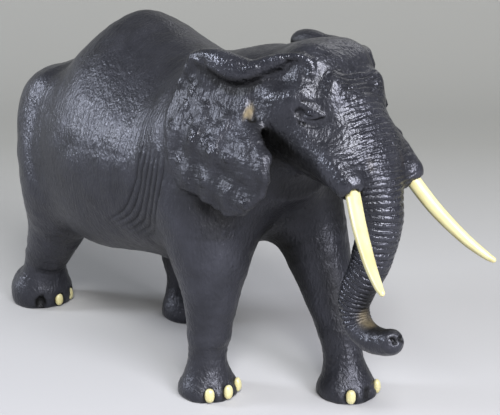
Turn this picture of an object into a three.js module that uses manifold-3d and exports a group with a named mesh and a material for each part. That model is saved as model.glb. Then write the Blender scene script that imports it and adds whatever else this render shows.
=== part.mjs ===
// A cast iron still bank in the shape of a walking elephant: a hollow one-piece casting with a
// coin slot behind the top of the back, inset tusks and toenails, and a screwed cover in the belly.
// Millimetres. +X is the way the elephant walks, +Y its left side, +Z up, soles on z = 0.
import * as THREE from "three";
import { ParametricGeometry } from "three/addons/geometries/ParametricGeometry.js";
import { mergeVertices } from "three/addons/utils/BufferGeometryUtils.js";
import Module from "manifold-3d";

// ---- driving dimensions ----
const MIDDLE_X = 92.5; // the middle of the whole length, measured from the right hind foot
const WALL = 4.5; // cast wall of the sides and the back
const FLOOR = 7; // cast wall of the belly, which also carries the cover
const GAP = 0.3; // clearance round every inset or loose piece

const SLOT = { x: 27, z: 103, width: 3.2, length: 29, depth: 40, slope: 0.55 };

const COVER = { x: 77, length: 44, width: 26, bottom: 39.5, thickness: 2.6 };
const PAD_RIM = 3.2; // flat cast rim round the cover
const PAD_TOP = 47; // the rim reaches up into the belly wall
const PAST = 6; // how far a cutting shape runs past the face that it cuts
const DOOR = { length: 26, width: 18, low: 30, high: 60 }; // the hole that the coins come out of
const SCREW = { offset: 17.5, shank: 2.05, head: 3.7, headHeight: 2.1, bite: 9.6, point: 0.6 };
const SCREW_SLOT = { width: 1.1, depth: 1.1 };
const BOSS = { radius: 5, top: 56 };

// Torso stations: x, top, bottom, half width, height of the widest point.
const TORSO = [
  [-8, 76, 66, 3, 71],
  [-4, 86, 56, 12, 72],
  [3, 93, 50, 18.5, 72],
  [12, 98, 46, 25, 72],
  [24, 104, 43, 31.5, 72],
  [38, 114, 40.5, 35.5, 71],
  [51, 119.8, 39, 37.5, 71],
  [62, 118.5, 38, 38, 70],
  [76, 113.8, 38, 37, 71],
  [92, 110, 40, 34.5, 74],
  [108, 109.5, 46, 30, 79],
  [124, 111.5, 58, 23, 88],
  [136, 112, 68, 17, 92],
];
const CAVITY_ENDS = { rear: [6, 84, 60, 9, 72], front: [117, 99, 68, 13, 86] };

// Round limbs: x, y, z, radius, from the top down (y for the right side is negative).
const LEG_FRONT_RIGHT = [
  [107, -12, 94, 7],
  [109, -15.5, 84, 14],
  [112, -17, 68, 16.5],
  [114.8, -17.6, 54, 14.4],
  [115.5, -18, 38, 9.9],
  [114, -18, 21, 7],
  [113, -18, 11, 6.6],
  [112.8, -17.8, 3, 10.2],
  [112.8, -17.8, 0, 10.4],
];
const LEG_FRONT_LEFT = [
  [111, 12, 94, 7],
  [113, 15, 84, 14],
  [116.8, 16.4, 68, 14.8],
  [121.8, 17.8, 54, 12.4],
  [130.2, 18.7, 36, 9.4],
  [137, 18.3, 21, 7.1],
  [139.8, 18, 11, 6.8],
  [142, 17.8, 3, 10.2],
  [142, 17.8, 0, 10.4],
];
const LEG_HIND_RIGHT = [
  [15, -9, 90, 7],
  [16, -13.5, 80, 14.5],
  [18.5, -16, 67, 17.5],
  [23, -18.5, 52, 17],
  [18, -19.6, 38, 12],
  [9, -20, 23, 9],
  [4, -20.2, 13, 9.2],
  [1.2, -20, 4.5, 12.2],
  [1.2, -20, 0, 11.6],
];
const LEG_HIND_LEFT = [
  [20, 10, 92, 7],
  [24, 14.5, 80, 14.5],
  [30, 17, 66, 17.5],
  [38, 18, 50, 15],
  [47, 18, 34, 11],
  [49, 17.8, 21, 8.2],
  [50, 17.5, 12, 7.8],
  [52, 17, 3.5, 10.6],
  [52, 17, 0, 10.4],
];
const NECK = [
  [108, 0, 90, 19],
  [124, 0, 93, 20.5],
  [134, 0, 96, 18],
  [142, 0, 98, 15],
];
const TRUNK = [
  [148, 0, 106, 12],
  [159, 0, 95, 11.6],
  [166.5, 0, 86, 9.6],
  [171, 0, 77.5, 7.8],
  [172.5, 0, 69, 6.7],
  [169.5, 0, 57, 5.9],
  [164.5, 0, 47, 5.3],
  [163, 0, 40.5, 4.7],
  [165.3, 0, 35.6, 4.4],
  [170.4, 0, 33.3, 4.2],
  [176, 0, 33.6, 3.9],
  [180, 0, 34.8, 3.4],
];
const TAIL = [
  [-1, 0, 90, 3.6],
  [-6.5, 0, 82, 3.2],
  [-8.6, 0, 72, 2.7],
  [-7.6, 0, 62, 2.4],
  [-4.2, 0, 53, 2.5],
  [-1.6, 0, 45, 2.9],
  [-0.8, 0, 38, 1.5],
];

// Left-hand pieces of the head (y positive); the right-hand ones mirror them.
const SKULL = { at: [142, 0, 100.5], size: [18, 15, 17] };
const JAW = { at: [150, 0, 84], size: [12, 8.5, 7.5] };
const FOREHEAD = { at: [149, 6, 109], size: [10, 8.5, 10] };
const BROW = { at: [155, 9.5, 101.5], size: [7, 5, 5] };
const TEMPLE = { at: [147.5, 12.4, 104.4], size: [10, 5.2, 5.4] };
const JOWL = { at: [143, 12.5, 101], size: [13, 8, 10] };
const CHEEK = { at: [148, 10.5, 92], size: [11, 7.5, 8] };
const EYE = { at: [156, 12.2, 101], size: [2.6, 2, 1.7] };
const SHEATH = [
  [146, 8, 94, 7],
  [156, 9.4, 90, 7.3],
  [164, 10.2, 87.2, 6.6],
  [171.6, 11.4, 82.6, 4.7],
];
const TUSK = [
  [169.6, 11, 85, 1.8],
  [173, 11.7, 80.9, 2.1],
  [179.6, 14.9, 72.7, 2.05],
  [187.5, 18.5, 65.3, 1.7],
  [193.5, 21, 61.2, 1.25],
  [196.1, 22, 59.9, 0.85],
];
const TUSK_SEATED = 3; // stations of the tusk that the socket follows

// Ear outline in the side view, from the temple round the back edge, and its stand-off in y.
const EAR_OUTLINE = [
  [139.5, 105], [128, 110], [118.5, 112.5], [112, 107], [109.5, 97], [112, 88], [116, 78],
  [125, 73], [138, 69.5], [148, 72.5], [155, 82], [152, 91], [143, 98],
];
const EAR = { heart: [130, 90], outer: 1.8, inner: 6.5, top: 98, curl: 0.03 };
const EAR_STAND_OFF = [[100, 29], [112, 30.4], [125, 30.6], [140, 28], [156, 25]];
const FLAP = [
  [117.5, 24.6, 112.4, 1.3],
  [124, 24, 113.2, 2.6],
  [132.5, 21.6, 111.4, 3.3],
  [141.5, 17.2, 111.8, 2.2],
  [146, 15.2, 113.2, 1.6],
];
const LEFT_FOLD = { at: [117, 21.5, 112.6], size: [8.6, 4.2, 4.4] };

// Toenails: the middle one points the way the foot is turned, the others to either side of it.
const NAIL = { turn: 39, size: [1.3, 1.6, 2.5], height: 3 };
const FEET = {
  front_right: { at: [112.8, -17.8], radius: 9.9, turned: 6, nails: ["outer", "middle", "inner"] },
  front_left: { at: [142, 17.8], radius: 9.9, turned: 4, nails: ["outer", "inner"] },
  hind_right: { at: [1.2, -20], radius: 11.4, turned: 7, nails: ["middle", "inner"] },
  hind_left: { at: [52, 17], radius: 10.1, turned: 10, nails: ["outer", "middle", "inner"] },
};
const NAIL_PLACES = ["outer", "middle", "inner"];

// ---- materials ----
function blackenedIron() {
  return new THREE.MeshStandardMaterial({ color: 0x3c3e46, roughness: 0.42, metalness: 0.55 });
}

function creamBone() {
  return new THREE.MeshStandardMaterial({ color: 0xefe9c8, roughness: 0.5, metalness: 0 });
}

function screwSteel() {
  return new THREE.MeshStandardMaterial({ color: 0x6d6e70, roughness: 0.4, metalness: 1 });
}

// ---- solids ----
const wasm = await Module();
wasm.setup();

// A closed geometry as a solid; faces squeezed to a line at a pole are left out.
function solid(geometry) {
  const shell = geometry.clone();
  shell.deleteAttribute("normal");
  shell.deleteAttribute("uv");
  const merged = mergeVertices(shell, 1e-4);
  const corners = merged.index.array;
  const kept = [];
  for (let i = 0; i < corners.length; i += 3) {
    const [a, b, c] = [corners[i], corners[i + 1], corners[i + 2]];
    if (a !== b && b !== c && c !== a) kept.push(a, b, c);
  }
  const made = toManifold(merged.attributes.position.array, kept);
  return made.volume() < 0 ? toManifold(merged.attributes.position.array, kept.reverse()) : made;
}

function toManifold(positions, corners) {
  const mesh = new wasm.Mesh({
    numProp: 3,
    vertProperties: new Float32Array(positions),
    triVerts: new Uint32Array(corners),
  });
  return new wasm.Manifold(mesh);
}

function geometryOf(made) {
  const mesh = made.getMesh();
  const geometry = new THREE.BufferGeometry();
  geometry.setAttribute("position", new THREE.BufferAttribute(mesh.vertProperties, 3));
  geometry.setIndex(new THREE.BufferAttribute(mesh.triVerts, 1));
  geometry.computeVertexNormals();
  return geometry;
}

function joined(solids) {
  return solids.reduce((all, next) => all.add(next));
}

function curve(points) {
  return new THREE.CatmullRomCurve3(points, false, "catmullrom", 0.5);
}

// A tapered round limb through stations [x, y, z, radius]. Level limbs keep their rings
// horizontal, so a leg ends in a flat sole; the others keep them square to their path.
function limb(stations, around, along, level = false) {
  const path = curve(stations.map(([x, y, z]) => new THREE.Vector3(x, y, z)));
  const radii = curve(stations.map(([, , , r]) => new THREE.Vector3(r, 0, 0)));
  const stacks = along + 2;
  const across = new THREE.Vector3(0, 1, 0);
  const point = (u, v, target) => {
    const ring = v * stacks;
    const t = THREE.MathUtils.clamp((ring - 1) / along, 0, 1);
    const shrink = Math.min(1, ring, stacks - ring);
    const forward = level ? new THREE.Vector3(0, 0, -1) : path.getTangent(t);
    const n = across.clone().addScaledVector(forward, -across.dot(forward)).normalize();
    const b = new THREE.Vector3().crossVectors(forward, n);
    const angle = 2 * Math.PI * (u % 1);
    const r = radii.getPoint(t).x * shrink;
    target.copy(path.getPoint(t));
    target.addScaledVector(n, r * Math.cos(angle)).addScaledVector(b, r * Math.sin(angle));
  };
  return solid(new ParametricGeometry(point, around, stacks));
}

// A barrel along x through stations [x, top, bottom, half width, height of the widest point].
// Its upper half is drawn in towards a ridge, its lower half is full.
function barrel(stations, around, along) {
  const heights = curve(stations.map(([x, top, bottom]) => new THREE.Vector3(x, top, bottom)));
  const widths = curve(stations.map(([, , , half, widest]) => new THREE.Vector3(half, widest, 0)));
  const stacks = along + 2;
  const ridge = 1.7;
  const full = 2.4;
  const power = (value, e) => Math.sign(value) * Math.abs(value) ** (2 / e);
  const point = (u, v, target) => {
    const ring = v * stacks;
    const t = THREE.MathUtils.clamp((ring - 1) / along, 0, 1);
    const shrink = Math.min(1, ring, stacks - ring);
    const [height, width] = [heights.getPoint(t), widths.getPoint(t)];
    const angle = 2 * Math.PI * (u % 1);
    const [c, s] = [Math.cos(angle), Math.sin(angle)];
    const e = s > 0 ? ridge : full;
    const reach = s > 0 ? height.y - width.y : width.y - height.z;
    target.set(height.x, width.x * shrink * power(c, e), width.y + reach * shrink * power(s, e));
  };
  return solid(new ParametricGeometry(point, around, stacks));
}

function ellipsoid({ at, size }, side, around = 12, up = 8) {
  const geometry = new THREE.SphereGeometry(1, around, up);
  geometry.scale(...size);
  geometry.translate(at[0], side * at[1], at[2]);
  return solid(geometry);
}

function mirroredStations(stations, side) {
  return stations.map(([x, y, z, r]) => [x, side * y, z, r]);
}

// A plate with round ends, lying level, from height low to height high.
function stadium(x, length, width, low, high) {
  const r = width / 2;
  const reach = length / 2 - r;
  const outline = new THREE.Shape();
  outline.absarc(reach, 0, r, -Math.PI / 2, Math.PI / 2);
  outline.absarc(-reach, 0, r, Math.PI / 2, (3 * Math.PI) / 2);
  const plate = new THREE.ExtrudeGeometry(outline, {
    depth: high - low, bevelEnabled: false, curveSegments: 10,
  });
  plate.translate(x, 0, low);
  return solid(plate);
}

function post(x, radius, low, high, around = 20) {
  const geometry = new THREE.CylinderGeometry(radius, radius, high - low, around);
  geometry.rotateX(Math.PI / 2);
  geometry.translate(x, 0, (low + high) / 2);
  return solid(geometry);
}

// ---- the casting ----
function earStandOff(x, z) {
  const next = EAR_STAND_OFF.findIndex(([at]) => at >= x);
  const last = EAR_STAND_OFF.length - 1;
  const i = THREE.MathUtils.clamp(next < 0 ? last : next, 1, last);
  const [[x0, y0], [x1, y1]] = [EAR_STAND_OFF[i - 1], EAR_STAND_OFF[i]];
  const flat = THREE.MathUtils.mapLinear(THREE.MathUtils.clamp(x, x0, x1), x0, x1, y0, y1);
  return flat - EAR.curl * Math.max(z - EAR.top, 0) ** 2;
}

// An ear as a leaf that lies along the neck and the shoulder, thickened towards them.
function ear(side) {
  const outline = new THREE.CatmullRomCurve3(
    EAR_OUTLINE.map(([x, z]) => new THREE.Vector3(x, 0, z)), true, "catmullrom", 0.5,
  );
  const [heartX, heartZ] = EAR.heart;
  const point = (u, v, target) => {
    const edge = outline.getPoint(u % 1);
    const out = Math.sin(Math.PI * v);
    const x = THREE.MathUtils.lerp(heartX, edge.x, out);
    const z = THREE.MathUtils.lerp(heartZ, edge.z, out);
    const face = Math.sign(0.5 - v) * Math.sqrt(Math.max(0, 1 - out ** 6));
    const depth = face > 0 ? EAR.outer : EAR.inner;
    target.set(x, side * (earStandOff(x, z) + face * depth), z);
  };
  return solid(new ParametricGeometry(point, 28, 8));
}

function head() {
  const pieces = [ellipsoid(SKULL, 1, 18, 12), ellipsoid(JAW, 1)];
  for (const side of [-1, 1]) {
    for (const lump of [FOREHEAD, BROW, TEMPLE, JOWL, CHEEK]) pieces.push(ellipsoid(lump, side));
    pieces.push(ellipsoid(EYE, side, 8, 6));
    pieces.push(limb(mirroredStations(SHEATH, side), 12, 5));
  }
  return joined(pieces);
}

function legs() {
  const stations = [LEG_FRONT_RIGHT, LEG_FRONT_LEFT, LEG_HIND_RIGHT, LEG_HIND_LEFT];
  return joined(stations.map((leg) => limb(leg, 16, 10, true)));
}

function cavity() {
  const core = TORSO.filter(([x]) => x > 10 && x < 110).map(([x, top, bottom, half, widest]) => [
    x, top - WALL, bottom + FLOOR, half - WALL, widest,
  ]);
  return barrel([CAVITY_ENDS.rear, ...core, CAVITY_ENDS.front], 20, 11);
}

// The coin slot runs along the spine on the rear slope of the back.
function coinSlot() {
  const geometry = new THREE.BoxGeometry(SLOT.length, SLOT.width, SLOT.depth);
  geometry.rotateY(-SLOT.slope);
  geometry.translate(SLOT.x, 0, SLOT.z);
  return solid(geometry);
}

function screwPlaces() {
  return [COVER.x - SCREW.offset, COVER.x + SCREW.offset];
}

function seatHeight() {
  return COVER.bottom + COVER.thickness + GAP;
}

function screwBosses() {
  return screwPlaces().map((x) => post(x, BOSS.radius, seatHeight(), BOSS.top));
}

function screwHoles() {
  const top = seatHeight() + SCREW.bite + 2 * GAP;
  return screwPlaces().map((x) => post(x, SCREW.shank + GAP, COVER.bottom, top, 16));
}

function coverPad() {
  const { x, length, width, bottom } = COVER;
  const rim = 2 * PAD_RIM;
  return stadium(x, length + rim, width + rim, bottom, PAD_TOP);
}

function coverRecess() {
  const { x, length, width, bottom } = COVER;
  return stadium(x, length + 2 * GAP, width + 2 * GAP, bottom - PAST, seatHeight());
}

function nailPlace(foot, place) {
  const turn = (NAIL_PLACES.indexOf(place) - 1) * NAIL.turn * (foot.at[1] < 0 ? 1 : -1);
  const angle = THREE.MathUtils.degToRad(turn + foot.turned);
  return {
    x: foot.at[0] + foot.radius * Math.cos(angle),
    y: foot.at[1] + foot.radius * Math.sin(angle),
    angle,
  };
}

function nailShape(foot, place, grow) {
  const { x, y, angle } = nailPlace(foot, place);
  const geometry = new THREE.SphereGeometry(1, 8, 6);
  geometry.scale(...NAIL.size.map((half) => half + grow));
  geometry.rotateZ(angle);
  geometry.translate(x, y, NAIL.height);
  return solid(geometry);
}

function nailPockets() {
  return Object.values(FEET).flatMap((foot) =>
    NAIL_PLACES.map((place) => nailShape(foot, place, GAP)),
  );
}

function tuskSocket(side) {
  const seated = TUSK.slice(0, TUSK_SEATED).map(([x, y, z, r]) => [x, side * y, z, r + GAP]);
  return limb(seated, 10, 4);
}

function bodyCasting() {
  const outside = joined([
    barrel(TORSO, 26, 18),
    legs(),
    limb(NECK, 18, 4),
    head(),
    limb(TRUNK, 12, 20),
    limb(TAIL, 8, 8),
    ear(-1),
    ear(1),
    limb(mirroredStations(FLAP, -1), 10, 6),
    limb(mirroredStations(FLAP, 1), 10, 6),
    ellipsoid(LEFT_FOLD, 1, 10, 6),
    coverPad(),
  ]);
  const hollow = joined([cavity(), stadium(COVER.x, DOOR.length, DOOR.width, DOOR.low, DOOR.high)]);
  let casting = outside.subtract(hollow).add(joined(screwBosses()));
  for (const cut of [coverRecess(), coinSlot(), ...screwHoles(), ...nailPockets()]) {
    casting = casting.subtract(cut);
  }
  return casting.subtract(tuskSocket(-1)).subtract(tuskSocket(1));
}

// ---- the loose pieces ----
function tusk(side) {
  return limb(mirroredStations(TUSK, side), 12, 14);
}

function bellyCover() {
  const { x, length, width, bottom, thickness } = COVER;
  const plate = stadium(x, length, width, bottom, bottom + thickness);
  const holes = screwPlaces().map((at) => post(at, SCREW.shank + GAP, bottom - PAST, bottom + PAST, 16));
  return plate.subtract(joined(holes));
}

// A round-headed slotted machine screw, head down.
function coverScrew(x) {
  const under = COVER.bottom - GAP / 2;
  const tip = seatHeight() + SCREW.bite;
  const profile = [
    [0, under - SCREW.headHeight],
    [SCREW.head * 0.55, under - SCREW.headHeight * 0.86],
    [SCREW.head * 0.9, under - SCREW.headHeight * 0.45],
    [SCREW.head, under],
    [SCREW.shank, under],
    [SCREW.shank, tip - SCREW.point],
    [SCREW.shank - SCREW.point, tip],
    [0, tip],
  ].map(([r, z]) => new THREE.Vector2(r, z));
  const turned = new THREE.LatheGeometry(profile, 20);
  turned.rotateX(Math.PI / 2);
  turned.translate(x, 0, 0);
  const slot = new THREE.BoxGeometry(3 * SCREW.head, SCREW_SLOT.width, 2 * SCREW_SLOT.depth);
  slot.translate(x, 0, under - SCREW.headHeight);
  return solid(turned).subtract(solid(slot));
}

// ---- assembly ----
function addMesh(group, name, made, material) {
  const mesh = new THREE.Mesh(geometryOf(made), material);
  mesh.name = name;
  group.add(mesh);
}

function addNails(group) {
  for (const [footName, foot] of Object.entries(FEET)) {
    for (const place of foot.nails) {
      addMesh(group, `toenail_${footName}_${place}`, nailShape(foot, place, 0), creamBone());
    }
  }
}

const bank = new THREE.Group();
bank.position.x = -MIDDLE_X;
addMesh(bank, "body_casting", bodyCasting(), blackenedIron());
addMesh(bank, "tusk_right", tusk(-1), creamBone());
addMesh(bank, "tusk_left", tusk(1), creamBone());
addNails(bank);
addMesh(bank, "belly_cover", bellyCover(), blackenedIron());
addMesh(bank, "cover_screw_rear", coverScrew(screwPlaces()[0]), screwSteel());
addMesh(bank, "cover_screw_front", coverScrew(screwPlaces()[1]), screwSteel());

export default bank;
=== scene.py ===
"""The looks of a cast iron elephant still bank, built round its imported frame.

The casting's skin is a distance field: every muscle, fold and flap is a term of it, and the field is
turned into one closed mesh whose vertices are then moved onto the fine relief. Lengths are in
millimetres along the way the elephant walks (x from the right hind foot), until a mesh is made.
"""

import logging
import math
from dataclasses import dataclass, field
from enum import Enum
from typing import Sequence

import bmesh
import bpy
import numpy as np
import openvdb
from mathutils import Matrix, Vector


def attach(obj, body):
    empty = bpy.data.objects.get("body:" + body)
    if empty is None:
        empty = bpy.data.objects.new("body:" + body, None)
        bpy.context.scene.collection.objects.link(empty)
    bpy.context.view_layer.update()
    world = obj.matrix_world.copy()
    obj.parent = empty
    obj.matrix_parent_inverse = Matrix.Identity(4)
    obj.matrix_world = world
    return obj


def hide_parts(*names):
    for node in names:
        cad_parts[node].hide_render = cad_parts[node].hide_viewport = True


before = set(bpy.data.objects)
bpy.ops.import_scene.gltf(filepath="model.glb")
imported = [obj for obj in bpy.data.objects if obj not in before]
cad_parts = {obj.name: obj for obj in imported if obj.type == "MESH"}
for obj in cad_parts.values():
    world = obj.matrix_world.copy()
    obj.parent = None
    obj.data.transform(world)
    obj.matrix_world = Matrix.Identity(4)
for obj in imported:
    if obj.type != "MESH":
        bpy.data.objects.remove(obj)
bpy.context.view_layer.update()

log = logging.getLogger("still_bank")

MM = 0.001
MIDDLE_X = 92.5  # the middle of the length, measured from the right hind foot
Points = np.ndarray
Distance = np.ndarray
# A station is x, y, z and a radius. A mass is an ellipsoid's middle, its half sizes and its blend's reach.
Station = tuple[float, float, float, float]
Mass = tuple[tuple[float, ...], tuple[float, ...], float]


class Side(Enum):
    """The two sides of the elephant, as the sign of y."""

    RIGHT = -1
    LEFT = 1


# ---- small tools ----


def to_frame(points: Points) -> Points:
    """Turns walk coordinates in millimetres into frame coordinates in metres."""
    return (np.asarray(points, float) - (MIDDLE_X, 0.0, 0.0)) * MM


def linear(hex_colour: str) -> tuple[float, float, float, float]:
    """Turns an sRGB hex colour into linear RGBA.

    Args:
        hex_colour: six hex digits, with or without a leading #.

    Returns:
        The linear colour with an alpha of 1.
    """
    digits = hex_colour.lstrip("#")
    channels = [int(digits[i : i + 2], 16) / 255 for i in (0, 2, 4)]
    curve = [c / 12.92 if c <= 0.04045 else ((c + 0.055) / 1.055) ** 2.4 for c in channels]
    return (*curve, 1.0)


def add_node(tree: bpy.types.NodeTree, kind: str, links: dict | None = None, **settings) -> bpy.types.Node:
    """Adds one shader node.

    Args:
        tree: the node tree.
        kind: the node's type name.
        links: input name or number to an output socket, or to a plain value.
        settings: the node's own properties.

    Returns:
        The node.
    """
    node = tree.nodes.new(kind)
    for name, value in settings.items():
        setattr(node, name, value)
    connect(tree, node, links or {})
    return node


def connect(tree: bpy.types.NodeTree, node: bpy.types.Node, links: dict) -> None:
    """Links or sets a node's inputs.

    Args:
        tree: the node tree.
        node: the node.
        links: input name or number to an output socket, or to a plain value.
    """
    for key, value in links.items():
        if isinstance(value, bpy.types.NodeSocket):
            tree.links.new(value, node.inputs[key])
        else:
            node.inputs[key].default_value = value


def new_object(name: str, points: Points, faces: Sequence) -> bpy.types.Object:
    """Makes a mesh object from walk coordinates in millimetres.

    Args:
        name: the piece's name.
        points: n by 3 vertices.
        faces: lists of vertex numbers.

    Returns:
        The object, smooth shaded.
    """
    mesh = bpy.data.meshes.new(name)
    mesh.from_pydata(to_frame(points).tolist(), [], [list(map(int, f)) for f in faces])
    mesh.validate()
    made = bpy.data.objects.new(name, mesh)
    bpy.context.scene.collection.objects.link(made)
    mesh.shade_smooth()
    return made


def ring_faces(rings: int, around: int) -> list[tuple[int, int, int, int]]:
    """Quads between rings of vertices that follow one another.

    Args:
        rings: how many rings there are.
        around: how many vertices each has.

    Returns:
        The faces as vertex numbers.
    """
    faces = []
    for i in range(rings - 1):
        for j in range(around):
            a, b = i * around + j, i * around + (j + 1) % around
            faces.append((a, b, b + around, a + around))
    return faces


def smooth_path(stations: Sequence[Sequence[float]], steps: int, closed: bool = False) -> np.ndarray:
    """Runs a Catmull-Rom curve through stations of any width.

    Args:
        stations: the points, each with its radius or other values behind it.
        steps: how many pieces each span is cut into.
        closed: whether the curve comes back to its start.

    Returns:
        The points of the curve.
    """
    knots = np.asarray(stations, float)
    if not closed:
        knots = np.vstack([2 * knots[0] - knots[1], knots, 2 * knots[-1] - knots[-2]])
    count = len(knots) if closed else len(knots) - 3
    rows = []
    for i in range(count):
        if closed:
            a, b, c, d = (knots[(i + k - 1) % len(knots)] for k in range(4))
        else:
            a, b, c, d = knots[i : i + 4]
        for t in np.arange(steps) / steps:
            square, cube = 2 * a - 5 * b + 4 * c - d, 3 * b - a - 3 * c + d
            rows.append(0.5 * (2 * b + (c - a) * t + square * t**2 + cube * t**3))
    if not closed:
        rows.append(knots[-2])
    return np.array(rows)


# ---- distance fields ----


def blend_union(a: Distance, b: Distance, reach: float) -> Distance:
    """Joins two fields with a fillet about a quarter of reach deep."""
    h = np.clip(0.5 + 0.5 * (b - a) / reach, 0, 1)
    return b + (a - b) * h - reach * h * (1 - h)


def blend_cut(a: Distance, b: Distance, reach: float) -> Distance:
    """Takes field b out of field a with a rounded edge."""
    return -blend_union(-a, b, reach)


def ellipsoid(p: Points, at: Sequence[float], size: Sequence[float]) -> Distance:
    """Distance to an ellipsoid, close to true near its surface.

    Args:
        p: the points.
        at: the centre.
        size: the half sizes.

    Returns:
        The distances.
    """
    q = p - np.asarray(at, float)
    s = np.asarray(size, float)
    k = np.sqrt(((q / s) ** 2).sum(-1))
    g = np.sqrt(((q / (s * s)) ** 2).sum(-1)) + 1e-9
    return k * (k - 1) / g


def with_masses(d: Distance, p: Points, masses: Sequence[Mass]) -> Distance:
    """Joins ellipsoids to a field, each with its own fillet.

    Args:
        d: the field.
        p: the points.
        masses: the centre, the half sizes and the blend's reach of each.

    Returns:
        The joined field.
    """
    for at, size, reach in masses:
        d = blend_union(d, ellipsoid(p, at, size), reach)
    return d


def along_path(p: Points, path: np.ndarray, reach: float) -> tuple[Distance, Distance]:
    """Finds the nearest place on a tapered round path.

    Args:
        p: the points.
        path: rows of x, y, z and radius.
        reach: points further than this from the path's box are not looked at.

    Returns:
        The distance to the round limb, and how far along the path its nearest place is.
    """
    far = np.full(len(p), 1e3)
    place = np.zeros(len(p))
    low, high = path[:, :3].min(0) - path[:, 3].max() - reach, path[:, :3].max(0) + path[:, 3].max() + reach
    near = np.where(((p > low) & (p < high)).all(-1))[0]
    if not len(near):
        return far, place
    q = p[near]
    best, where = np.full(len(q), 1e3), np.zeros(len(q))
    start = 0.0
    for a, b in zip(path[:-1], path[1:]):
        step = b[:3] - a[:3]
        length = float(np.linalg.norm(step))
        t = np.clip(((q - a[:3]) @ step) / (length**2 + 1e-12), 0, 1)
        d = np.linalg.norm(q - a[:3] - t[:, None] * step, axis=-1) - (a[3] + (b[3] - a[3]) * t)
        closer = d < best
        best[closer], where[closer] = d[closer], (start + t * length)[closer]
        start += length
    far[near], place[near] = best, where
    return far, place


def limb(p: Points, stations: Sequence[Station], steps: int = 4, reach: float = 14.0) -> Distance:
    """Distance to a tapered round limb that runs smoothly through its stations."""
    return along_path(p, smooth_path(stations, steps), reach)[0]


def slices(p: Points, stations: Sequence[Station]) -> Distance:
    """Distance to a limb of level round slices, with its stations from the top down.

    Args:
        p: the points.
        stations: the stations.

    Returns:
        The distances.
    """
    table = smooth_path(stations, 6)[::-1]
    z = np.clip(p[:, 2], table[0, 2], table[-1, 2])
    x, y, r = (np.interp(z, table[:, 2], table[:, k]) for k in (0, 1, 3))
    d = (np.hypot(p[:, 0] - x, p[:, 1] - y) - r) * 0.85
    beyond = np.abs(p[:, 2] - z)
    return np.where(beyond > 0, np.hypot(np.maximum(d, 0), beyond), d)


def outline_distance(x: Distance, z: Distance, outline: np.ndarray) -> Distance:
    """Signed distance in the side view to a closed outline, negative inside.

    Args:
        x: places along the body.
        z: heights.
        outline: the corners of the outline, x and z.

    Returns:
        The distances, negative inside.
    """
    best = np.full(x.shape, 1e9)
    inside = np.zeros(x.shape, bool)
    for a, b in zip(outline, np.roll(outline, -1, 0)):
        e = b - a
        wx, wz = x - a[0], z - a[1]
        t = np.clip((wx * e[0] + wz * e[1]) / (e @ e), 0, 1)
        best = np.minimum(best, (wx - e[0] * t) ** 2 + (wz - e[1] * t) ** 2)
        crosses = ((a[1] <= z) != (b[1] <= z)) & (x < e[0] * (z - a[1]) / (e[1] + 1e-12) + a[0])
        inside ^= crosses
    best = np.sqrt(best)
    return np.where(inside, -best, best)


def fade(value: Distance, full: float, none: float) -> Distance:
    """Falls smoothly from 1 at full to 0 at none."""
    t = np.clip((value - none) / (full - none), 0, 1)
    return t * t * (3 - 2 * t)


def lumps(p: Points, size: float, seed: int) -> Distance:
    """Smooth noise between -1 and 1 with lumps about the given size in millimetres.

    Args:
        p: the points.
        size: the size of a lump in millimetres.
        seed: which noise.

    Returns:
        The noise.
    """
    q = p / size
    cell = np.floor(q).astype(np.int64)
    t = q - cell
    t = t * t * (3 - 2 * t)
    total = np.zeros(len(p))
    for corner in np.ndindex(2, 2, 2):
        c = cell + corner
        mixed = (c[:, 0] * 73856093) ^ (c[:, 1] * 19349663) ^ (c[:, 2] * 83492791) ^ (seed * 2654435761)
        mixed = (mixed ^ (mixed >> 13)) * 1274126177 & 0x7FFFFFFF
        share = np.prod(np.where(np.array(corner) == 1, t, 1 - t), axis=-1)
        total += share * ((mixed % 10007) / 5003.0 - 1)
    return total


def mirrored(stations: Sequence[Sequence[float]], side: Side) -> list[tuple[float, ...]]:
    """Puts right-hand stations (y negative) on the asked side."""
    sign = -side.value
    return [(x, sign * y, z, *rest) for x, y, z, *rest in stations]


def flipped(p: Points, side: Side) -> Points:
    """Brings points of the asked side to the right-hand side, where y is negative."""
    return p * np.array([1.0, -float(side.value), 1.0])


# ---- the shape of the elephant ----


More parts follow.
